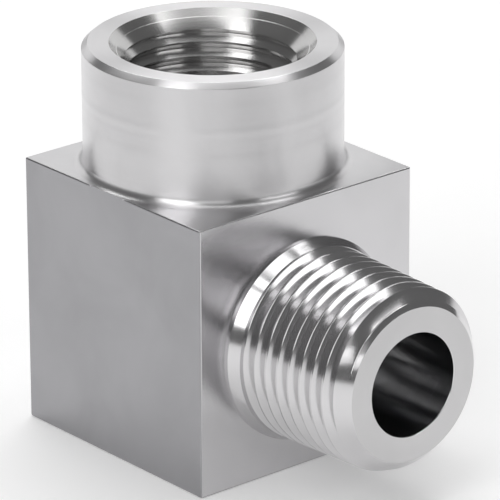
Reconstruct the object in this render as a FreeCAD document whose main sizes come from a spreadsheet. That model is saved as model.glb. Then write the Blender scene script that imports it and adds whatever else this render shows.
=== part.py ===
import FreeCAD, Part
import os
import Sketcher

# A 90 degree elbow adapter machined in one piece from square bar. The female port opens upwards in a
# turned boss, and the male nipple points along +X. Both carry a 3/8 tapered pipe thread, 18 to the inch.
# The origin is on the female port's axis, in the plane of the base.

SIZES = [
    ("bar_width", 24.0, "square bar, across its flats"),
    ("block_front", 12.5, "female port's axis to the face that carries the nipple"),
    ("block_back", 11.5, "female port's axis to the back face"),
    ("block_height", 24.7, "base to the shoulder around the boss"),
    ("edge_break", 0.2, "broken edges of the bar and of the base"),
    ("boss_diameter", 22.9, "turned boss of the female port"),
    ("boss_height", 11.1, "shoulder to the boss's rim"),
    ("rim_chamfer", 0.5, "outer edge of the boss's rim"),
    ("mouth_diameter", 18.1, "45 degree countersink of the female port, at the rim"),
    ("tap_drill_diameter", 14.68, "hole for the female thread"),
    ("tap_drill_depth", 18.0, "rim to the end of the tap drill's full diameter"),
    ("flow_bore_diameter", 9.3, "the two passages that meet in the block"),
    ("bore_crossing", 1.0, "how far each passage runs past the other's axis"),
    ("drill_point_angle", 118.0, "point of the drills, in degrees"),
    ("nipple_axis_height", 11.8, "base to the nipple's axis"),
    ("nipple_length", 13.8, "front face to the nipple's tip"),
    ("crest_diameter", 16.5, "male thread's crests, carried on to the plane of the tip"),
    ("tip_face_diameter", 13.9, "flat ring at the tip, inside its 45 degree chamfer"),
    ("thread_taper", 0.0625, "growth in diameter for each unit of length"),
    ("thread_pitch", 1.411, "18 threads to the inch"),
    ("thread_depth", 0.9, "crest to root"),
    ("thread_angle", 60.0, "angle between the flanks, in degrees"),
    ("thread_lead_in", 0.51, "tip to the middle of the groove where the cutter starts, at the side"),
    ("thread_runout", 1.5, "front face to the middle of the groove where the cutter stops"),
    ("cutter_overrun", 0.1, "how far a cutter reaches outside the metal"),
]
LEAST_CHANGE = 1.0  # mm3 of metal that a feature adds or cuts, or it has missed the part

# Formulas that more than one feature uses.
RIM = "Sizes.block_height + Sizes.boss_height"
TIP = "Sizes.block_front + Sizes.nipple_length"
BOSS_RADIUS = "Sizes.boss_diameter / 2"
CREST_RADIUS = "Sizes.crest_diameter / 2"
TIP_FACE_RADIUS = "Sizes.tip_face_diameter / 2"
MOUTH_RADIUS = "Sizes.mouth_diameter / 2"
TAP_RADIUS = "Sizes.tap_drill_diameter / 2"
BORE_RADIUS = "Sizes.flow_bore_diameter / 2"
RADIUS_GROWTH = "Sizes.thread_taper / 2"
POINT_SLOPE = "tan(Sizes.drill_point_angle / 2)"
FLANK_SLOPE = "tan(Sizes.thread_angle / 2)"

doc = FreeCAD.newDocument("ElbowAdapter")
sheet = doc.addObject("Spreadsheet::Sheet", "Sizes")
for row, (alias, number, note) in enumerate(SIZES, start=1):
    sheet.set(f"A{row}", alias)
    sheet.set(f"B{row}", str(number))
    sheet.set(f"C{row}", note)
    sheet.setAlias(f"B{row}", alias)
doc.recompute()

body = doc.addObject("PartDesign::Body", "elbow_body")
body.Label = "elbow_body"


def number_of(formula):
    """What a formula on the sheet's sizes comes to now."""
    return float(body.evalExpression(formula))


def outline(name, role, corners, axis_height=None):
    """A closed sketch through corners, each a pair of formulas, on one of the body's origin planes.

    With axis_height, the sketch's own X axis is lifted by that much above the base.
    """
    sketch = body.newObject("Sketcher::SketchObject", name)
    origin_plane = next(item for item in body.Origin.OriginFeatures if item.Role == role)
    sketch.AttachmentSupport = (origin_plane, [""])
    sketch.MapMode = "FlatFace"
    if axis_height:
        upwards = "y" if role == "XZ_Plane" else "z"
        sketch.setExpression(f"AttachmentOffset.Base.{upwards}", axis_height)

    points = [FreeCAD.Vector(number_of(x), number_of(y), 0) for x, y in corners]
    for start, end in zip(points, points[1:] + points[:1]):
        sketch.addGeometry(Part.LineSegment(start, end), False)
    for index in range(len(points)):
        following = (index + 1) % len(points)
        sketch.addConstraint(Sketcher.Constraint("Coincident", index, 2, following, 1))
    for index, (point, formulas) in enumerate(zip(points, corners)):
        for kind, axis, length, formula in zip(("DistanceX", "DistanceY"), (-2, -1), point, formulas):
            if formula == "0":
                sketch.addConstraint(Sketcher.Constraint("PointOnObject", index, 1, axis))
                continue
            bound = sketch.addConstraint(Sketcher.Constraint(kind, -1, 1, index, 1, length))
            sketch.setExpression(f"Constraints[{bound}]", formula)
    doc.recompute()
    return sketch


def feature(kind, name, adds, profile=None, axis=None, sizes=None, **properties):
    """One feature of the body, recomputed, and its volume compared with the body before it."""
    before = body.Tip.Shape.Volume if body.Tip else 0.0
    made = body.newObject(f"PartDesign::{kind}", name)
    if profile:
        made.Profile = profile
        profile.Visibility = False
    if axis:
        made.ReferenceAxis = (profile, [axis])
    for key, value in properties.items():
        setattr(made, key, value)
    for key, formula in (sizes or {}).items():
        made.setExpression(key, formula)
    doc.recompute()
    change = made.Shape.Volume - before
    print(f"{name}: {change:+.1f} mm3")
    if "Invalid" in made.State or (change if adds else -change) < LEAST_CHANGE:
        raise RuntimeError(f"{name} did not {'add' if adds else 'cut'} metal")
    return made


def bar():
    """The bar, cut to length and stood on end, as high as the boss will be, with its edges broken."""
    half = "Sizes.bar_width / 2"
    corners = [
        ("-Sizes.block_back", f"-{half}"),
        ("Sizes.block_front", f"-{half}"),
        ("Sizes.block_front", half),
        ("-Sizes.block_back", half),
    ]
    section = outline("BarSection", "XY_Plane", corners)
    stock = feature("Pad", "Bar", True, section, sizes={"Length": RIM})
    not_at_rim = [
        f"Edge{count}"
        for count, edge in enumerate(stock.Shape.Edges, start=1)
        if edge.BoundBox.ZMin < number_of(RIM) / 2
    ]
    feature("Chamfer", "BarEdges", False, Base=(stock, not_at_rim), sizes={"Size": "Sizes.edge_break"})


def boss():
    """The boss, turned about the female port's axis down to a square shoulder."""
    clear = "Sizes.bar_width + Sizes.block_front + Sizes.block_back"
    above = f"{RIM} + Sizes.cutter_overrun"
    inside = f"{BOSS_RADIUS} - Sizes.rim_chamfer"
    corners = [
        (BOSS_RADIUS, "Sizes.block_height"),
        (clear, "Sizes.block_height"),
        (clear, above),
        (inside, above),
        (inside, RIM),
        (BOSS_RADIUS, f"{RIM} - Sizes.rim_chamfer"),
    ]
    waste = outline("BossWaste", "XZ_Plane", corners)
    feature("Groove", "BossTurning", False, waste, "V_Axis", Angle=360.0)


def nipple():
    """The nipple's blank, with the thread's taper and a chamfered tip."""
    chamfer = f"({CREST_RADIUS} - {TIP_FACE_RADIUS}) / (1 - {RADIUS_GROWTH})"
    corners = [
        ("0", "0"),
        (TIP, "0"),
        (TIP, TIP_FACE_RADIUS),
        (f"{TIP} - {chamfer}", f"{TIP_FACE_RADIUS} + {chamfer}"),
        ("0", f"{CREST_RADIUS} + ({TIP}) * {RADIUS_GROWTH}"),
    ]
    half = outline("NippleHalf", "XZ_Plane", corners, "Sizes.nipple_axis_height")
    feature("Revolution", "Nipple", True, half, "H_Axis", Angle=360.0)


def male_thread():
    """The tapered groove, one right-hand helix from beyond the tip to its runout near the front face."""
    start = f"{TIP} + Sizes.thread_lead_in"
    root = f"{CREST_RADIUS} - Sizes.thread_lead_in * {RADIUS_GROWTH} - Sizes.thread_depth"
    cut = "Sizes.thread_depth + Sizes.cutter_overrun"
    corners = [
        (start, root),
        (f"{start} + ({cut}) * {FLANK_SLOPE}", f"{root} + {cut}"),
        (f"{start} - ({cut}) * {FLANK_SLOPE}", f"{root} + {cut}"),
    ]
    groove = outline("ThreadGroove", "XY_Plane", corners, "Sizes.nipple_axis_height")
    sizes = {
        "Pitch": "Sizes.thread_pitch",
        "Height": "Sizes.nipple_length + Sizes.thread_lead_in - Sizes.thread_runout",
        "Angle": f"atan({RADIUS_GROWTH})",
    }
    feature("SubtractiveHelix", "MaleThread", False, groove, "H_Axis", sizes, Mode=0, Reversed=True)


def female_port():
    """The countersunk tap drill hole and the passage below it, down past the nipple's axis."""
    tap_end = f"{RIM} - Sizes.tap_drill_depth"
    bore_end = "Sizes.nipple_axis_height - Sizes.bore_crossing"
    corners = [
        ("0", f"{RIM} + Sizes.cutter_overrun"),
        (f"{MOUTH_RADIUS} + Sizes.cutter_overrun", f"{RIM} + Sizes.cutter_overrun"),
        (TAP_RADIUS, f"{RIM} - ({MOUTH_RADIUS} - {TAP_RADIUS})"),
        (TAP_RADIUS, tap_end),
        (BORE_RADIUS, f"{tap_end} - ({TAP_RADIUS} - {BORE_RADIUS}) / {POINT_SLOPE}"),
        (BORE_RADIUS, bore_end),
        ("0", f"{bore_end} - {BORE_RADIUS} / {POINT_SLOPE}"),
    ]
    hole = outline("PortHole", "XZ_Plane", corners)
    feature("Groove", "FemalePort", False, hole, "V_Axis", Angle=360.0)


def nipple_bore():
    """The passage through the nipple, drilled past the female port's axis."""
    corners = [
        (f"{TIP} + Sizes.cutter_overrun", "0"),
        (f"{TIP} + Sizes.cutter_overrun", BORE_RADIUS),
        ("-Sizes.bore_crossing", BORE_RADIUS),
        (f"-Sizes.bore_crossing - {BORE_RADIUS} / {POINT_SLOPE}", "0"),
    ]
    hole = outline("NippleHole", "XZ_Plane", corners, "Sizes.nipple_axis_height")
    feature("Groove", "NippleBore", False, hole, "H_Axis", Angle=360.0)


bar()
boss()
nipple()
male_thread()
female_port()
nipple_bore()

doc.recompute()
for item in doc.Objects:
    if "Invalid" in item.State or "Error" in item.State:
        raise RuntimeError(f"{item.Name} failed: {item.State}")
shape = body.Shape
if shape.isNull() or not shape.isValid() or len(shape.Solids) != 1:
    raise RuntimeError(f"{body.Label} is not one valid solid")

os.makedirs("parts", exist_ok=True)
shape.exportStep(f"parts/{body.Label}.step")
box = shape.optimalBoundingBox()
print(f"{body.Label}: {box.XLength:.2f} x {box.YLength:.2f} x {box.ZLength:.2f} mm, {shape.Volume:.1f} mm3")
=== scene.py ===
"""Looks of the 90 degree elbow adapter: bar body, turned boss and nipple, both threads, studio and camera.

The fitting's classes hold millimetres and degrees, and its mesh is scaled to metres once, when it becomes a
piece. Finishes, lights and camera are in metres.
"""

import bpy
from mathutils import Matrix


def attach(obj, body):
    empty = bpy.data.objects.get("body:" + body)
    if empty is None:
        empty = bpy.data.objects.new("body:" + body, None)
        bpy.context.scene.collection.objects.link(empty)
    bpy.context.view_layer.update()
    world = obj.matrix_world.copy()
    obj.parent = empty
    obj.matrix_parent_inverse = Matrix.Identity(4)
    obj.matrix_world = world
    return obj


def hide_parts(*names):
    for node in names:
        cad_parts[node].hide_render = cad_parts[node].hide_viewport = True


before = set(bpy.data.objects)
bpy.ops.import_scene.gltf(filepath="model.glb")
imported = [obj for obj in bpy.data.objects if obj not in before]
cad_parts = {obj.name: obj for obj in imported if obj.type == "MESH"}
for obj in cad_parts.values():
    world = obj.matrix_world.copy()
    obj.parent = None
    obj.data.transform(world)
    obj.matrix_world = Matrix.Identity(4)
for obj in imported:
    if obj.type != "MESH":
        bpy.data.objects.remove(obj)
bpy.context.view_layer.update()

import logging
import math
from dataclasses import dataclass, field
from enum import Enum

import bmesh
import bpy
from mathutils import Matrix, Quaternion, Vector

LOG = logging.getLogger("elbow")
METRES = 0.001
ON_AXIS = 1e-9  # mm from the axis within which a lathe's ring is a single point
CLEAR = 0.004  # mm that a cutter's rounding keeps off the face it runs out to, so the two never coincide
BEYOND = 1.0  # mm that a cutter or a trimming prism reaches past a form's own end
SUNK = 1.5  # mm that a turned form reaches into the block that carries it
Profile = list[tuple[float, float]]
Colour = tuple[float, float, float, float]
Point = tuple[float, float, float]


class Turned(Enum):
    """The axis that a turned form goes round, as the matrix from a form about +Z."""

    ABOUT_Z = Matrix.Identity(4)
    ABOUT_X = Matrix(((0, 0, 1, 0), (1, 0, 0, 0), (0, 1, 0, 0), (0, 0, 0, 1)))


class Joining(Enum):
    """What a solid does to the one it is joined to, as the boolean modifier names it."""

    ADD = "UNION"
    CUT = "DIFFERENCE"
    TRIM = "INTERSECT"


class Edges(Enum):
    """The edges of a box, by where they run."""

    UPRIGHT = "upright"
    BASE = "base"
    TOP = "top"


class NodeGraph:
    """A node tree that is filled by short calls."""

    def __init__(self, tree: bpy.types.NodeTree) -> None:
        """Take an empty tree.

        Args:
            tree: The tree to fill.
        """
        self.tree = tree

    def add(self, kind: str, inputs: dict | None = None, **properties: object) -> bpy.types.Node:
        """Add a node, with its sockets set to values or linked to other sockets.

        Args:
            kind: The node's type name.
            inputs: Values or output sockets, by the input's name or index.
            properties: The node's own settings.

        Returns:
            The node.
        """
        node = self.tree.nodes.new(kind)
        for name, value in properties.items():
            setattr(node, name, value)
        for key, value in (inputs or {}).items():
            if isinstance(value, bpy.types.NodeSocket):
                self.link(value, node.inputs[key])
            else:
                node.inputs[key].default_value = value
        return node

    def link(self, source: bpy.types.NodeSocket, target: bpy.types.NodeSocket) -> None:
        """Link an output socket to an input socket."""
        self.tree.links.new(source, target)

    def math(self, operation: str, *values: object) -> bpy.types.NodeSocket:
        """Add a Math node on up to three values and give its result."""
        return self.add("ShaderNodeMath", dict(enumerate(values)), operation=operation).outputs[0]

    def vector(self, operation: str, *values: object) -> bpy.types.NodeSocket:
        """Add a Vector Math node and give its vector."""
        node = self.add("ShaderNodeVectorMath", dict(enumerate(values)), operation=operation)
        return node.outputs["Vector"]

    def scaled(self, vector: object, scale: bpy.types.NodeSocket) -> bpy.types.NodeSocket:
        """Scale a vector by a number."""
        node = self.add("ShaderNodeVectorMath", {0: vector, "Scale": scale}, operation="SCALE")
        return node.outputs["Vector"]

    def combine(self, *values: object) -> bpy.types.NodeSocket:
        """Join three numbers into a vector."""
        return self.add("ShaderNodeCombineXYZ", dict(enumerate(values))).outputs[0]

    def noise(self, where: bpy.types.NodeSocket, scale: float, detail: float, roughness: float = 0.5,
              distortion: float = 0.0, dimensions: str = "3D") -> bpy.types.NodeSocket:
        """Add a Noise Texture node.

        Args:
            where: The coordinates that it reads.
            scale: Its cells per metre.
            detail: Its octaves.
            roughness: How strong the finer octaves are.
            distortion: How far the cells are pulled about.
            dimensions: 2D or 3D.

        Returns:
            The noise's value.
        """
        inputs = {"Vector": where, "Scale": scale, "Detail": detail, "Roughness": roughness,
                  "Distortion": distortion}
        return self.add("ShaderNodeTexNoise", inputs, noise_dimensions=dimensions).outputs["Fac"]

    def ranged(self, value: bpy.types.NodeSocket, low: float, high: float, start: float = 0.0,
               end: float = 1.0) -> bpy.types.NodeSocket:
        """Map a value from one range to another.

        Args:
            value: The value.
            low: What the range's start becomes.
            high: What the range's end becomes.
            start: Where the range starts.
            end: Where the range ends.

        Returns:
            The mapped value.
        """
        return self.add("ShaderNodeMapRange", {"Value": value, "From Min": start, "From Max": end,
                                               "To Min": low, "To Max": high}).outputs["Result"]


def rounded(corners: list[Point], steps: int = 4) -> Profile:
    """Round the corners of an open outline with arcs.

    Args:
        corners: Radius, height and rounding radius of each corner.
        steps: Straight runs in each arc.

    Returns:
        The outline's points.
    """
    points: Profile = [corners[0][:2]]
    for before, here, after in zip(corners, corners[1:], corners[2:]):
        centre = Vector(here[:2])
        back = (Vector(before[:2]) - centre).normalized()
        ahead = (Vector(after[:2]) - centre).normalized()
        if here[2] == 0:
            points.append(tuple(centre))
            continue
        half = back.angle(ahead) / 2
        reach = here[2] / math.tan(half)
        middle = centre + (back + ahead).normalized() * (here[2] / math.sin(half))
        start, end = centre + back * reach - middle, centre + ahead * reach - middle
        turn = start.angle_signed(end)
        for step in range(steps + 1):
            angle = -turn * step / steps
            spoke = Vector((start.x * math.cos(angle) - start.y * math.sin(angle),
                            start.x * math.sin(angle) + start.y * math.cos(angle)))
            points.append(tuple(middle + spoke))
    points.append(corners[-1][:2])
    return points


def lathe(name: str, outline: Profile, finish: bpy.types.Material, segments: int = 256,
          axis: Turned = Turned.ABOUT_Z, height: float = 0.0) -> bpy.types.Object:
    """Turn an outline that starts and ends on the axis into a closed solid.

    Args:
        name: The solid's name.
        outline: Radius and height of each point.
        finish: Its material.
        segments: Sides of the turned form.
        axis: The axis that it goes round.
        height: How far the axis lies above the base, for a form about X.

    Returns:
        The solid.
    """
    mesh = bmesh.new()
    rings = []
    for radius, along in outline:
        if radius < ON_AXIS:
            rings.append([mesh.verts.new((0, 0, along))])
            continue
        ring = []
        for step in range(segments):
            angle = math.tau * step / segments
            ring.append(mesh.verts.new((radius * math.cos(angle), radius * math.sin(angle), along)))
        rings.append(ring)
    for low, high in zip(rings, rings[1:]):
        for step in range(segments):
            after = (step + 1) % segments
            corners = [low[step % len(low)], low[after % len(low)],
                       high[after % len(high)], high[step % len(high)]]
            mesh.faces.new(dict.fromkeys(corners))
    bmesh.ops.recalc_face_normals(mesh, faces=mesh.faces)
    mesh.transform(Matrix.Translation((0, 0, height)) @ axis.value)
    return solid(name, mesh, finish)


def solid(name: str, mesh: bmesh.types.BMesh, finish: bpy.types.Material) -> bpy.types.Object:
    """Make an object of a mesh under work, which is freed.

    Args:
        name: The object's name.
        mesh: The mesh.
        finish: Its material.

    Returns:
        The object.
    """
    data = bpy.data.meshes.new(name)
    mesh.to_mesh(data)
    mesh.free()
    data.materials.append(finish)
    made = bpy.data.objects.new(name, data)
    bpy.context.scene.collection.objects.link(made)
    return made


def box(name: str, low: Point, high: Point, finish: bpy.types.Material, breaks: dict[Edges, float],
        steps: int = 3) -> bpy.types.Object:
    """Make a box with rounded edges.

    Args:
        name: The box's name.
        low: Its lowest corner.
        high: Its highest corner.
        finish: Its material.
        breaks: How far its edges are rounded; those left out stay sharp.
        steps: Straight runs in each rounding.

    Returns:
        The box.
    """
    mesh = bmesh.new()
    bmesh.ops.create_cube(mesh, size=1)
    for vert in mesh.verts:
        vert.co = Vector((low[axis] if vert.co[axis] < 0 else high[axis] for axis in range(3)))
    bmesh.ops.recalc_face_normals(mesh, faces=mesh.faces)
    widest = max(breaks.values())
    middle = (low[2] + high[2]) / 2
    weight = mesh.edges.layers.float.new("bevel_weight_edge")
    for edge in mesh.edges:
        first, second = (vert.co.z for vert in edge.verts)
        if (first < middle) != (second < middle):
            kind = Edges.UPRIGHT
        else:
            kind = Edges.BASE if first < middle else Edges.TOP
        edge[weight] = breaks.get(kind, 0.0) / widest
    made = solid(name, mesh, finish)
    bevel = made.modifiers.new("edges", "BEVEL")
    bevel.limit_method = "WEIGHT"
    bevel.width = widest
    bevel.segments = steps
    apply_modifiers(made)
    return made


def apply_modifiers(made: bpy.types.Object) -> None:
    """Replace an object's mesh by what its modifiers make of it, and remove them.

    Args:
        made: The object.
    """
    graph = bpy.context.evaluated_depsgraph_get()
    graph.update()
    data = bpy.data.meshes.new_from_object(made.evaluated_get(graph), depsgraph=graph)
    made.modifiers.clear()
    old, made.data = made.data, data
    bpy.data.meshes.remove(old)


def join(target: bpy.types.Object, tool: bpy.types.Object, joining: Joining) -> bpy.types.Object:
    """Add a solid to another, cut it out or trim by it. It is used up.

    Args:
        target: The solid that stays.
        tool: The other solid.
        joining: What the other solid does.

    Returns:
        The target.
    """
    step = target.modifiers.new(joining.name.lower(), "BOOLEAN")
    step.operation = joining.value
    step.object = tool
    step.solver = "EXACT"
    step.material_mode = "TRANSFER"
    apply_modifiers(target)
    bpy.data.objects.remove(tool)
    return target


def open_edges(mesh: bmesh.types.BMesh) -> int:
    """Count the edges that don't lie between exactly two faces."""
    return sum(1 for edge in mesh.edges if len(edge.link_faces) != 2)


def dress_side(made: bpy.types.Object, finish: bpy.types.Material, facing: Vector, least: float) -> None:
    """Give the side of a solid that faces one way its own finish.

    Args:
        made: The solid.
        finish: The side's material.
        facing: The direction that the side faces.
        least: How much of a face's normal lies in that direction, at least.
    """
    made.data.materials.append(finish)
    slot = len(made.data.materials) - 1
    for face in made.data.polygons:
        if face.normal.dot(facing) > least:
            face.material_index = slot


def metal(name: str, colour: Colour, roughness: float
          ) -> tuple[bpy.types.Material, NodeGraph, bpy.types.Node, bpy.types.NodeSocket]:
    """Start a bare steel material.

    Args:
        name: The material's name.
        colour: The steel's reflection colour.
        roughness: Its roughness before any texture.

    Returns:
        The material, its graph, its shader node and the Object coordinates.
    """
    made = bpy.data.materials.new(name)
    made.use_nodes = True
    made.node_tree.nodes.clear()
    graph = NodeGraph(made.node_tree)
    shader = graph.add("ShaderNodeBsdfPrincipled",
                       {"Base Color": colour, "Metallic": 1.0, "Roughness": roughness})
    graph.add("ShaderNodeOutputMaterial", {"Surface": shader.outputs[0]})
    where = graph.add("ShaderNodeTexCoord").outputs["Object"]
    return made, graph, shader, where


@dataclass(frozen=True)
class Clouds:
    """Faint lighter and darker clouds in the steel's colour."""

    scale: float
    detail: float
    roughness: float
    distortion: float
    contrast: float
    darkest_at: float = 0.3
    lightest_at: float = 0.7

    def tint(self, graph: NodeGraph, where: bpy.types.NodeSocket, colour: Colour) -> bpy.types.NodeSocket:
        """Add the nodes that cloud a colour.

        Args:
            graph: The material's graph.
            where: The Object coordinates.
            colour: The colour.

        Returns:
            The clouded colour.
        """
        cloud = graph.noise(where, self.scale, self.detail, self.roughness, self.distortion)
        shade = graph.ranged(cloud, 1 - self.contrast, 1 + self.contrast, self.darkest_at, self.lightest_at)
        return graph.scaled(colour[:3], shade)


@dataclass(frozen=True)
class BarFinish:
    """The bar's own flats: satin, faintly clouded and without direction."""

    colour: Colour = (0.372, 0.369, 0.382, 1.0)
    clouds: Clouds = Clouds(scale=95.0, detail=5.0, roughness=0.55, distortion=0.6, contrast=0.065)
    roughness: float = 0.34
    smoother: float = 0.05
    rougher: float = 0.06
    patch_scale: float = 260.0
    grain_scale: float = 3200.0
    grain_strength: float = 0.12
    grain_depth: float = 3e-5

    def material(self) -> bpy.types.Material:
        """Build the material.

        Returns:
            The material.
        """
        made, graph, shader, where = metal("bar flats", self.colour, self.roughness)
        patches = graph.noise(where, self.patch_scale, detail=4.0, roughness=0.6)
        rough = graph.ranged(patches, self.roughness - self.smoother, self.roughness + self.rougher)
        grain = graph.noise(where, self.grain_scale, detail=2.0)
        bump = graph.add("ShaderNodeBump", {"Height": grain, "Strength": self.grain_strength,
                                            "Distance": self.grain_depth})
        graph.link(self.clouds.tint(graph, where, self.colour), shader.inputs["Base Color"])
        graph.link(rough, shader.inputs["Roughness"])
        graph.link(bump.outputs["Normal"], shader.inputs["Normal"])
        return made


@dataclass(frozen=True)
class TurnedFinish:
    """A turned surface: fine rings about an axis, and reflections drawn out across them."""

    name: str
    axis: Turned
    centre: Point
    colour: Colour = (0.68, 0.673, 0.682, 1.0)
    clouds: Clouds = Clouds(scale=170.0, detail=6.0, roughness=0.6, distortion=0.5, contrast=0.035)
    roughness: float = 0.2
    roughness_swing: float = 0.2
    bands_per_mm: float = 1.1
    rings_per_mm: float = 9.0
    ring_depth: float = 3e-6
    anisotropy: float = 0.5
    quarter_turn: float = 0.25

    def material(self) -> bpy.types.Material:
        """Build the material.

        Returns:
            The material.
        """
        made, graph, shader, where = metal(self.name, self.colour, self.roughness)
        from_axis = graph.vector("SUBTRACT", where, self.centre)
        x, y, z = graph.add("ShaderNodeSeparateXYZ", {0: from_axis}).outputs
        if self.axis is Turned.ABOUT_Z:
            axis, along, across = (0.0, 0.0, 1.0), z, (x, y)
        else:
            axis, along, across = (1.0, 0.0, 0.0), x, (y, z)
        squares = (graph.math("MULTIPLY", part, part) for part in across)
        ring = graph.combine(graph.math("SQRT", graph.math("ADD", *squares)), along, 0.0)
        marks = graph.noise(ring, self.rings_per_mm / METRES, detail=2.0, roughness=0.7, dimensions="2D")
        bands = graph.noise(ring, self.bands_per_mm / METRES, detail=3.0, dimensions="2D")
        rough = graph.ranged(bands, self.roughness * (1 - self.roughness_swing),
                             self.roughness * (1 + self.roughness_swing))
        bump = graph.add("ShaderNodeBump", {"Height": marks, "Strength": 1.0, "Distance": self.ring_depth})
        around = graph.vector("NORMALIZE", graph.vector("CROSS_PRODUCT", axis, from_axis))
        shader.inputs["Anisotropic"].default_value = self.anisotropy
        shader.inputs["Anisotropic Rotation"].default_value = self.quarter_turn
        graph.link(self.clouds.tint(graph, where, self.colour), shader.inputs["Base Color"])
        graph.link(rough, shader.inputs["Roughness"])
        graph.link(bump.outputs["Normal"], shader.inputs["Normal"])
        graph.link(around, shader.inputs["Tangent"])
        return made


@dataclass(frozen=True)
class Finishes:
    """The materials of the body's surfaces."""

    bar: bpy.types.Material
    boss: bpy.types.Material
    shoulder: bpy.types.Material
    face: bpy.types.Material
    port: bpy.types.Material
    nipple: bpy.types.Material
    tip: bpy.types.Material
    bore: bpy.types.Material

    @classmethod
    def build(cls, axis_height: float) -> "Finishes":
        """Build every material once.

        Args:
            axis_height: How high the nipple's axis lies above the base.

        Returns:
            The finishes.
        """
        upright = (Turned.ABOUT_Z, (0.0, 0.0, 0.0))
        level = (Turned.ABOUT_X, (0.0, 0.0, axis_height * METRES))
        return cls(
            bar=BarFinish().material(),
            boss=TurnedFinish("turned boss", *upright, roughness=0.3, anisotropy=0.85).material(),
            shoulder=TurnedFinish("faced shoulder", *upright, colour=(0.66, 0.655, 0.665, 1.0),
                                  roughness=0.3).material(),
            face=TurnedFinish("faced front", *level, colour=(0.62, 0.613, 0.625, 1.0)).material(),
            port=TurnedFinish("tapped port", *upright, colour=(0.56, 0.556, 0.553, 1.0),
                              ring_depth=7e-7).material(),
            nipple=TurnedFinish("turned nipple", *level, roughness=0.16, anisotropy=0.2,
                                ring_depth=6e-7).material(),
            tip=TurnedFinish("faced tip", *level, colour=(0.56, 0.555, 0.56, 1.0), roughness=0.24,
                             anisotropy=0.4, ring_depth=1.5e-6).material(),
            # The drilled passage's steel colour is set lighter than the turned steel's. This is a painted
            # lightening that stands in for light reaching inside the passage.
            bore=TurnedFinish("drilled passage", *level, colour=(0.74, 0.74, 0.75, 1.0), roughness=0.16,
                              anisotropy=0.2, ring_depth=6e-7).material())


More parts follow.
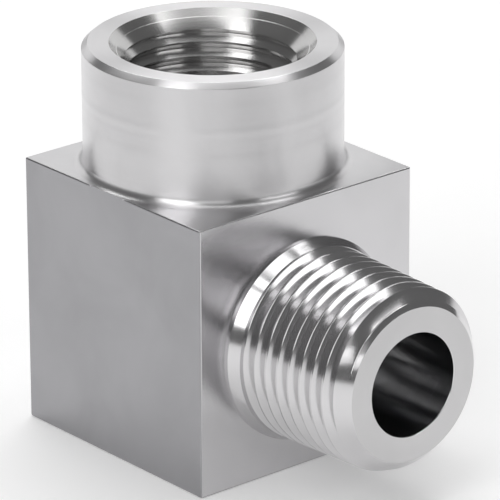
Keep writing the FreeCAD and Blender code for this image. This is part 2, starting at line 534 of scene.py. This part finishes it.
@dataclass
class HelicalGroove:
    """A thread's groove as a closed cutter, swept by Geometry Nodes along a tapered helix about +Z.

    The depth is below zero for a groove that is cut outwards, into a hole's wall.
    """

    name: str
    length: float
    start_radius: float
    end_radius: float
    depth: float
    root_flat: float
    root_rounding: float
    crest_rounding: float
    wing: float
    pitch: float = 1.411
    flank_angle: float = 60.0
    overrun: float = 0.3
    pull_out: float = 1.1
    pull_out_turns: float = 0.12
    steps_per_turn: int = 128
    fillet_steps: int = 3
    weld: float = 1e-4

    def sizes(self) -> dict[str, float | int]:
        """Work out the tree's inputs.

        Returns:
            Each input's value, by its name.
        """
        out = 1.0 if self.depth > 0 else -1.0
        shoulder = self.root_flat + abs(self.depth) * math.tan(math.radians(self.flank_angle / 2))
        return {"Turns": self.length / self.pitch, "Length": self.length, "Start Radius": self.start_radius,
                "End Radius": self.end_radius, "Root Flat": self.root_flat, "Root": -self.depth,
                "Shoulder": shoulder, "Wing": shoulder + self.wing, "Crest": out * CLEAR,
                "Outside": out * self.overrun, "Root Rounding": self.root_rounding,
                "Crest Rounding": self.crest_rounding, "Pull Out": out * self.pull_out,
                "Pull Out Share": self.pull_out_turns * self.pitch / self.length,
                "Steps per Turn": self.steps_per_turn}

    def tree(self) -> bpy.types.NodeTree:
        """Build the Geometry Nodes tree: helix, groove outline, sweep and weld.

        Returns:
            The tree.
        """
        tree = bpy.data.node_groups.new(self.name, "GeometryNodeTree")
        graph = NodeGraph(tree)
        tree.interface.new_socket("Geometry", in_out="INPUT", socket_type="NodeSocketGeometry")
        for name, value in self.sizes().items():
            kind = "NodeSocketInt" if isinstance(value, int) else "NodeSocketFloat"
            tree.interface.new_socket(name, in_out="INPUT", socket_type=kind)
        tree.interface.new_socket("Finish", in_out="INPUT", socket_type="NodeSocketMaterial")
        tree.interface.new_socket("Geometry", in_out="OUTPUT", socket_type="NodeSocketGeometry")
        size = graph.add("NodeGroupInput").outputs
        swept = graph.add("GeometryNodeCurveToMesh", {
            "Curve": self.path(graph, size), "Profile Curve": self.outline(graph, size), "Fill Caps": True})
        welded = graph.add("GeometryNodeMergeByDistance", {"Geometry": swept.outputs[0],
                                                           "Distance": self.weld}).outputs[0]
        real = graph.add("GeometryNodeRealizeInstances", {"Geometry": welded}).outputs[0]
        dressed = graph.add("GeometryNodeSetMaterial", {"Geometry": real, "Material": size["Finish"]})
        graph.add("NodeGroupOutput", {0: dressed.outputs[0]})
        return tree

    def path(self, graph: NodeGraph, size: bpy.types.NodeOutputs) -> bpy.types.NodeSocket:
        """Add the right-hand helix, with its start pulled clear of the wall.

        Args:
            graph: The tree under work.
            size: The tree's inputs.

        Returns:
            The helix as a curve.
        """
        helix = graph.add("GeometryNodeCurveSpiral", {
            "Resolution": size["Steps per Turn"], "Rotations": size["Turns"],
            "Start Radius": size["Start Radius"], "End Radius": size["End Radius"],
            "Height": size["Length"], "Reverse": True}).outputs[0]
        outward = graph.vector("NORMALIZE", graph.vector(
            "MULTIPLY", graph.add("GeometryNodeInputPosition").outputs[0], (1.0, 1.0, 0.0)))
        along = graph.add("GeometryNodeSplineParameter").outputs["Factor"]
        pulled = graph.math("MULTIPLY", size["Pull Out"], graph.math(
            "MAXIMUM", 0.0, graph.math("SUBTRACT", 1.0, graph.math("DIVIDE", along, size["Pull Out Share"]))))
        path = graph.add("GeometryNodeSetPosition", {"Geometry": helix,
                                                     "Offset": graph.scaled(outward, pulled)}).outputs[0]
        return graph.add("GeometryNodeSetCurveNormal", {"Curve": path}, mode="Z_UP").outputs[0]

    def outline(self, graph: NodeGraph, size: bpy.types.NodeOutputs) -> bpy.types.NodeSocket:
        """Add the groove's outline: a rounded root, flanks, rounded shoulders and wings clear of the crest.

        Args:
            graph: The tree under work.
            size: The tree's inputs.

        Returns:
            The outline as a closed curve.
        """
        corners = [("Root Flat", "Root", "Root Rounding"), ("Shoulder", "Crest", "Crest Rounding"),
                   ("Wing", "Crest", None), ("Wing", "Outside", None)]
        right = [(graph.combine(size[out], size[side], 0.0), size[curve] if curve else None)
                 for side, out, curve in corners]
        left = [(graph.combine(size[out], graph.math("MULTIPLY", size[side], -1.0), 0.0),
                 size[curve] if curve else None) for side, out, curve in reversed(corners)]
        points = right + left
        index = graph.add("GeometryNodeInputIndex").outputs[0]
        places = graph.add("GeometryNodeIndexSwitch", {"Index": index}, data_type="VECTOR")
        curves = graph.add("GeometryNodeIndexSwitch", {"Index": index}, data_type="FLOAT")
        for switch in (places, curves):
            while len(switch.index_switch_items) < len(points):
                switch.index_switch_items.new()
        for number, (place, curve) in enumerate(points, start=1):
            graph.link(place, places.inputs[number])
            if curve is not None:
                graph.link(curve, curves.inputs[number])
        line = graph.add("GeometryNodeMeshLine", {"Count": len(points)}).outputs[0]
        placed = graph.add("GeometryNodeSetPosition", {"Geometry": line, "Position": places.outputs[0]})
        curve = graph.add("GeometryNodeMeshToCurve", {"Mesh": placed.outputs[0]}).outputs[0]
        closed = graph.add("GeometryNodeSetSplineCyclic", {"Geometry": curve, "Cyclic": True}).outputs[0]
        return graph.add("GeometryNodeFilletCurve", {
            "Curve": closed, "Count": self.fillet_steps, "Radius": curves.outputs[0], "Limit Radius": True},
            mode="POLY").outputs[0]

    def build(self, finish: bpy.types.Material, placing: Matrix) -> bpy.types.Object:
        """Sweep the groove and put it in place.

        Args:
            finish: The cut surfaces' material.
            placing: From the helix's own frame to the body's.

        Returns:
            The cutter.
        """
        made = bpy.data.objects.new(self.name, bpy.data.meshes.new(self.name))
        bpy.context.scene.collection.objects.link(made)
        sweep = made.modifiers.new("thread", "NODES")
        tree = self.tree()
        sweep.node_group = tree
        values = {**self.sizes(), "Finish": finish}
        for item in tree.interface.items_tree:
            if item.in_out == "INPUT" and item.name in values:
                sweep[item.identifier] = values[item.name]
        apply_modifiers(made)
        work = bmesh.new()
        work.from_mesh(made.data)
        work.transform(placing)
        bmesh.ops.recalc_face_normals(work, faces=work.faces)
        LOG.info("%s: %d faces, %d open edges", self.name, len(work.faces), open_edges(work))
        work.to_mesh(made.data)
        work.free()
        return made


@dataclass
class Block:
    """The bar, cut to length, with broken edges."""

    back: float = -11.5
    front: float = 12.5
    half_width: float = 12.0
    height: float = 24.7
    edge_break: float = 0.2
    shoulder_break: float = 0.14
    faced: float = 0.9

    def build(self, finishes: Finishes) -> bpy.types.Object:
        """Make the block, with its machined top and front in their own finishes.

        Args:
            finishes: The body's finishes.

        Returns:
            The block.
        """
        made = box("block", (self.back, -self.half_width, 0.0), (self.front, self.half_width, self.height),
                   finishes.bar, {Edges.UPRIGHT: self.edge_break, Edges.BASE: self.edge_break,
                                  Edges.TOP: self.shoulder_break})
        dress_side(made, finishes.shoulder, Vector((0.0, 0.0, 1.0)), self.faced)
        dress_side(made, finishes.face, Vector((1.0, 0.0, 0.0)), self.faced)
        return made

    def prism(self, finishes: Finishes, low: float, high: float) -> bpy.types.Object:
        """Make the bar between two heights, to trim what is turned on it.

        Args:
            finishes: The body's finishes.
            low: The lower height.
            high: The upper height.

        Returns:
            The prism.
        """
        return box("prism", (self.back, -self.half_width, low), (self.front, self.half_width, high),
                   finishes.bar, {Edges.UPRIGHT: self.edge_break})


@dataclass
class Boss:
    """The boss, turned on the bar, with a rounded foot and a chamfered rim."""

    radius: float = 11.45
    foot: float = 0.75
    rim: float = 35.8
    chamfer: float = 0.46
    chamfer_width: float = 0.54
    edge: float = 0.07
    prism_below: float = 5.0

    def build(self, finishes: Finishes, block: Block) -> bpy.types.Object:
        """Make the boss and trim its foot to the bar.

        Args:
            finishes: The body's finishes.
            block: The bar that it is turned on.

        Returns:
            The boss.
        """
        sunk = block.height - block.shoulder_break
        foot_radius = self.radius + self.foot
        outline = rounded([
            (0.0, sunk - SUNK, 0.0),
            (foot_radius - SUNK, sunk - SUNK, 0.0),
            (foot_radius, sunk, 0.0),
            (foot_radius, block.height, 0.0),
            (self.radius, block.height, self.foot),
            (self.radius, self.rim - self.chamfer, self.edge),
            (self.radius - self.chamfer_width, self.rim, self.edge),
            (0.0, self.rim, 0.0)], steps=6)
        made = lathe("boss", outline, finishes.boss)
        prism = block.prism(finishes, block.height - self.prism_below, self.rim + BEYOND)
        return join(made, prism, Joining.TRIM)


@dataclass
class Nipple:
    """The tapered nipple, with a land and a cone at its foot, a right-hand thread and a chamfered tip."""

    axis_height: float = 11.8
    face: float = 12.5
    tip: float = 26.3
    crest_radius: float = 8.25
    tip_radius: float = 6.95
    foot_radius: float = 9.17
    foot_land: float = 0.22
    foot_end: float = 13.74
    foot_blend: float = 0.25
    edge: float = 0.05
    growth: float = 1 / 32
    thread_depth: float = 1.0
    runout: float = 14.0
    first_groove: float = 14.114
    beyond_tip: float = 0.6
    faced: float = 0.99

    def crest(self, along: float) -> float:
        """Give the crests' radius at a distance along X."""
        return self.crest_radius + (self.tip - along) * self.growth

    def build(self, finishes: Finishes) -> bpy.types.Object:
        """Turn the blank and cut the thread.

        Args:
            finishes: The body's finishes.

        Returns:
            The nipple.
        """
        chamfer = (self.crest_radius - self.tip_radius) / (1 - self.growth)
        outline = rounded([
            (0.0, self.face - SUNK, 0.0),
            (self.foot_radius, self.face - SUNK, 0.0),
            (self.foot_radius, self.face + self.foot_land, self.edge),
            (self.crest(self.foot_end), self.foot_end, self.foot_blend),
            (self.tip_radius + chamfer, self.tip - chamfer, self.edge),
            (self.tip_radius, self.tip, self.edge),
            (0.0, self.tip, 0.0)], steps=6)
        blank = lathe("nipple", outline, finishes.nipple, axis=Turned.ABOUT_X, height=self.axis_height)
        dress_side(blank, finishes.tip, Vector((1.0, 0.0, 0.0)), self.faced)
        return join(blank, self.thread(finishes), Joining.CUT)

    def thread(self, finishes: Finishes) -> bpy.types.Object:
        """Make the male thread's groove as a cutter.

        Args:
            finishes: The body's finishes.

        Returns:
            The cutter.
        """
        end = self.tip + self.beyond_tip
        groove = HelicalGroove("male thread", end - self.runout, self.crest(self.runout), self.crest(end),
                               self.thread_depth, root_flat=0.06, root_rounding=0.1, crest_rounding=0.085,
                               wing=0.055)
        turn = (self.runout - self.first_groove) / groove.pitch * math.tau
        placing = (Matrix.Translation((self.runout, 0, self.axis_height)) @ Turned.ABOUT_X.value
                   @ Matrix.Rotation(turn, 4, "Z"))
        return groove.build(finishes.nipple, placing)


@dataclass
class FemalePort:
    """The countersunk, tapped hole in the boss, and the drilled passage under it."""

    rim: float = 35.8
    mouth_radius: float = 9.05
    countersink: float = 1.65
    ring_radius: float = 8.43
    ring_depth: float = 0.62
    ring_width: float = 0.07
    ring_edge: float = 0.02
    tap_radius: float = 7.34
    tap_end: float = 17.8
    bore_radius: float = 4.65
    bore_end: float = 10.8
    point_angle: float = 118.0
    edge: float = 0.06
    root_radius: float = 7.98
    flank_angle: float = 88.0
    growth: float = 1 / 32
    thread_end: float = 20.6
    thread_above: float = 0.4
    crest_below_rim: float = 2.68
    crest_bearing: float = 139.9

    def hole(self, finishes: Finishes) -> bpy.types.Object:
        """Make the stepped hole as a cutter.

        Args:
            finishes: The body's finishes.

        Returns:
            The cutter.
        """
        slope = math.tan(math.radians(self.point_angle / 2))
        ring_height = self.rim - self.ring_depth
        outline = rounded([
            (0.0, self.bore_end - self.bore_radius / slope, 0.0),
            (self.bore_radius, self.bore_end, 0.0),
            (self.bore_radius, self.tap_end - (self.tap_radius - self.bore_radius) / slope, 0.0),
            (self.tap_radius, self.tap_end, 0.0),
            (self.tap_radius, self.rim - self.countersink, 0.0),
            (self.ring_radius - self.ring_width, ring_height, self.ring_edge),
            (self.ring_radius, ring_height, self.ring_edge),
            (self.mouth_radius + CLEAR, self.rim + CLEAR, self.edge),
            (self.mouth_radius + BEYOND, self.rim + CLEAR, 0.0),
            (self.mouth_radius + BEYOND, self.rim + BEYOND, 0.0),
            (0.0, self.rim + BEYOND, 0.0)])
        return lathe("port hole", outline, finishes.port)

    def thread(self, finishes: Finishes) -> bpy.types.Object:
        """Make the female thread's groove as a cutter, with a long runout at its lower end.

        Args:
            finishes: The body's finishes.

        Returns:
            The cutter.
        """
        full = self.rim - (self.mouth_radius - self.tap_radius)
        top = self.rim + self.thread_above
        groove = HelicalGroove("female thread", top - self.thread_end,
                               self.tap_radius - (full - self.thread_end) * self.growth,
                               self.tap_radius + (top - full) * self.growth,
                               self.tap_radius - self.root_radius, flank_angle=self.flank_angle,
                               root_flat=0.02, root_rounding=0.06, crest_rounding=0.08, wing=0.062,
                               pull_out=0.9, pull_out_turns=2.0)
        middle = self.rim - self.crest_below_rim - groove.pitch / 2
        turn = math.radians(self.crest_bearing) + (self.thread_end - middle) / groove.pitch * math.tau
        placing = Matrix.Translation((0, 0, self.thread_end)) @ Matrix.Rotation(turn, 4, "Z")
        return groove.build(finishes.port, placing)


@dataclass
class NippleBore:
    """The passage through the nipple, drilled past the female port's axis."""

    axis_height: float = 11.8
    tip: float = 26.3
    radius: float = 4.65
    end: float = -1.0
    point_angle: float = 118.0
    edge: float = 0.08

    def build(self, finishes: Finishes) -> bpy.types.Object:
        """Make the passage as a cutter.

        Args:
            finishes: The body's finishes.

        Returns:
            The cutter.
        """
        point = self.radius / math.tan(math.radians(self.point_angle / 2))
        outline = rounded([
            (0.0, self.end - point, 0.0),
            (self.radius, self.end, 0.0),
            (self.radius, self.tip + CLEAR, self.edge),
            (self.radius + BEYOND, self.tip + CLEAR, 0.0),
            (self.radius + BEYOND, self.tip + BEYOND, 0.0),
            (0.0, self.tip + BEYOND, 0.0)])
        return lathe("nipple bore", outline, finishes.bore, axis=Turned.ABOUT_X, height=self.axis_height)


@dataclass
class ElbowBody:
    """The whole fitting, one closed piece."""

    block: Block = field(default_factory=Block)
    boss: Boss = field(default_factory=Boss)
    nipple: Nipple = field(default_factory=Nipple)
    port: FemalePort = field(default_factory=FemalePort)
    bore: NippleBore = field(default_factory=NippleBore)
    sharp_angle: float = 33.0
    sliver: float = 1e-5

    def build(self) -> bpy.types.Object:
        """Join the forms, cut the hole, passages and threads, and finish the mesh.

        Returns:
            The fitting.
        """
        finishes = Finishes.build(self.nipple.axis_height)
        made = self.block.build(finishes)
        join(made, self.boss.build(finishes, self.block), Joining.ADD)
        join(made, self.nipple.build(finishes), Joining.ADD)
        join(made, self.port.hole(finishes), Joining.CUT)
        join(made, self.port.thread(finishes), Joining.CUT)
        join(made, self.bore.build(finishes), Joining.CUT)
        made.name = "elbow"
        self.finish_mesh(made)
        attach(made, "root")
        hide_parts("elbow_body")
        return made

    def finish_mesh(self, made: bpy.types.Object) -> None:
        """Clear the joined mesh of slivers, scale it to metres and set its normals.

        Args:
            made: The fitting, in millimetres.
        """
        mesh = bmesh.new()
        mesh.from_mesh(made.data)
        bmesh.ops.dissolve_degenerate(mesh, dist=self.sliver, edges=mesh.edges)
        bmesh.ops.triangulate(mesh, faces=[face for face in mesh.faces if len(face.verts) > 4])
        mesh.transform(Matrix.Scale(METRES, 4))
        opened = open_edges(mesh)
        mesh.to_mesh(made.data)
        mesh.free()
        made.data.shade_smooth()
        made.data.set_sharp_from_angle(angle=math.radians(self.sharp_angle))
        weighted = made.modifiers.new("normals", "WEIGHTED_NORMAL")
        weighted.mode = "FACE_AREA_WITH_ANGLE"
        weighted.keep_sharp = True
        apply_modifiers(made)
        triangles = sum(len(face.vertices) - 2 for face in made.data.polygons)
        LOG.info("%s: %d triangles, %d open edges", made.name, triangles, opened)


def bearing(azimuth: float, elevation: float) -> Vector:
    """Give the direction at an azimuth from +X and an elevation, in degrees."""
    turn, rise = math.radians(azimuth), math.radians(elevation)
    return Vector((math.cos(turn) * math.cos(rise), math.sin(turn) * math.cos(rise), math.sin(rise)))


@dataclass(frozen=True)
class Softbox:
    """A soft light on a bearing round the fitting, as wide and high as the angles that it fills there.

    The twist turns it about the line to the fitting, and the brightness is what a mirror would show of it.
    """

    name: str
    azimuth: float
    elevation: float
    width: float
    height: float
    brightness: float
    twist: float = 0.0
    distance: float = 0.5

    def build(self, aim: Vector) -> bpy.types.Object:
        """Hang the light so that it faces the aim.

        Args:
            aim: The point that it faces.

        Returns:
            The light.
        """
        away = bearing(self.azimuth, self.elevation)
        data = bpy.data.lights.new(self.name, "AREA")
        data.shape = "RECTANGLE"
        data.size = 2 * self.distance * math.tan(math.radians(self.width) / 2)
        data.size_y = 2 * self.distance * math.tan(math.radians(self.height) / 2)
        data.energy = self.brightness * math.pi * data.size * data.size_y
        made = bpy.data.objects.new(self.name, data)
        made.location = aim + away * self.distance
        made.rotation_mode = "QUATERNION"
        facing = away.to_track_quat("Z", "Y")
        made.rotation_quaternion = facing @ Quaternion((0.0, 0.0, 1.0), math.radians(self.twist))
        bpy.context.scene.collection.objects.link(made)
        return made


@dataclass
class Studio:
    """A light table in a dim room, with softboxes round it."""

    table_size: float = 3.0
    table_cells: int = 8
    table_colour: Colour = (0.9, 0.9, 0.9, 1.0)
    table_roughness: float = 0.9
    table_gloss: float = 0.1
    table_glow: float = 0.21
    room: float = 0.14
    white: Colour = (1.0, 1.0, 1.0, 1.0)
    aim: Vector = field(default_factory=lambda: Vector((0.0, 0.0, 0.018)))
    lights: tuple[Softbox, ...] = (
        Softbox("right softbox", 20.0, 27.0, 32.0, 14.0, 2.0),
        Softbox("front left softbox", 286.0, 34.0, 28.0, 37.0, 2.3),
        Softbox("back wall", 140.0, 19.0, 84.0, 26.0, 0.8),
        Softbox("overhead", 21.6, 84.0, 15.0, 60.0, 1.7, twist=48.4),
        Softbox("overhead right", 83.0, 63.0, 14.0, 16.0, 1.7),
        Softbox("overhead left", 269.0, 62.0, 24.0, 9.0, 2.3),
        Softbox("front fill", 318.0, 34.0, 26.0, 32.0, 0.34),
        Softbox("camera side", 320.0, 19.0, 30.0, 13.0, 1.0, distance=0.6),
        Softbox("overhead back", 148.0, 56.0, 46.0, 22.0, 4.2),
    )

    def build(self) -> None:
        """Lay the table, light the room and hang the softboxes."""
        mesh = bmesh.new()
        bmesh.ops.create_grid(mesh, x_segments=self.table_cells, y_segments=self.table_cells,
                              size=self.table_size / 2)
        pale = bpy.data.materials.new("pale floor")
        pale.use_nodes = True
        shader = pale.node_tree.nodes["Principled BSDF"]
        shader.inputs["Base Color"].default_value = self.table_colour
        shader.inputs["Roughness"].default_value = self.table_roughness
        shader.inputs["Specular IOR Level"].default_value = self.table_gloss
        shader.inputs["Emission Color"].default_value = self.white
        shader.inputs["Emission Strength"].default_value = self.table_glow
        solid("floor", mesh, pale)
        world = bpy.data.worlds.new("studio")
        bpy.context.scene.world = world
        world.use_nodes = True
        surround = world.node_tree.nodes["Background"]
        surround.inputs["Color"].default_value = self.white
        surround.inputs["Strength"].default_value = self.room
        for light in self.lights:
            light.build(self.aim)
        bpy.context.scene.view_settings.view_transform = "Standard"


@dataclass
class Viewpoint:
    """The camera: a long lens, aimed at the block's middle and then slid to frame the fitting."""

    azimuth: float = 49.909
    elevation: float = 21.463
    roll: float = -0.258
    distance: float = 0.4364
    lens: float = 355.18
    sensor: float = 36.0
    nearest: float = 0.01
    farthest: float = 10.0
    aim: Point = (0.0005, 0.0, 0.012)
    slide_right: float = 0.0028103
    slide_up: float = 0.0041129

    def build(self) -> bpy.types.Object:
        """Place the camera and make it the scene's.

        Returns:
            The camera.
        """
        azimuth, elevation, roll = (math.radians(x) for x in (self.azimuth, self.elevation, self.roll))
        back = Vector((math.cos(elevation) * math.sin(azimuth), -math.cos(elevation) * math.cos(azimuth),
                       math.sin(elevation)))
        level = Vector((math.cos(azimuth), math.sin(azimuth), 0.0))
        upright = back.cross(level)
        right = level * math.cos(roll) + upright * math.sin(roll)
        up = upright * math.cos(roll) - level * math.sin(roll)
        data = bpy.data.cameras.new("camera")
        data.lens, data.sensor_width = self.lens, self.sensor
        data.clip_start, data.clip_end = self.nearest, self.farthest
        made = bpy.data.objects.new("camera", data)
        made.location = (Vector(self.aim) + back * self.distance + right * self.slide_right
                         + up * self.slide_up)
        made.rotation_mode = "QUATERNION"
        made.rotation_quaternion = Matrix((right, up, back)).transposed().to_quaternion()
        bpy.context.scene.collection.objects.link(made)
        bpy.context.scene.camera = made
        return made


def main() -> None:
    """Build the camera, studio and fitting."""
    logging.basicConfig(level=logging.INFO, format="%(name)s: %(message)s")
    Viewpoint().build()
    Studio().build()
    ElbowBody().build()


if __name__ == "__main__":
    main()
